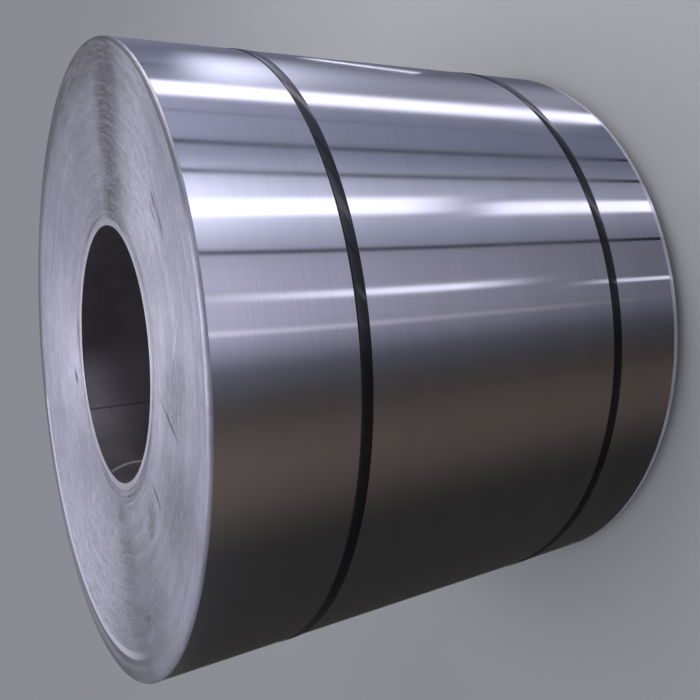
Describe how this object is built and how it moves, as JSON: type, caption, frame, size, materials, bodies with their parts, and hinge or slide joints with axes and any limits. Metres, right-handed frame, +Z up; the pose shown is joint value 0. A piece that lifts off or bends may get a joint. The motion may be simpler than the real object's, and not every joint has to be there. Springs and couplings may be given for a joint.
{
  "type": "steel coil",
  "caption": "Wide coil of bright steel strip standing on its end with its bore upright, held round by two black steel straps with crimped seals.",
  "frame": {"origin": "on the floor, under the middle of the coil", "axes": "+Z up along the bore, towards the end face that the picture shows; +X towards the side of the coil that is uppermost in the picture; -Y towards the side that is nearest there"},
  "size_m": [1.4725, 1.4726, 1.23],
  "materials": {
    "strip_steel": "bright cold-rolled strip, finely brushed along its length, with sheared edges on the coil's two ends",
    "strap_steel": "black lacquered steel strapping with a low gloss",
    "seal_steel": "black crimped steel seal"
  },
  "bodies": {
    "root": {"coil": "strip_steel", "strap_1": "strap_steel", "strap_2": "strap_steel", "seal_1": "seal_steel", "seal_2": "seal_steel"}
  },
  "joints": []
}
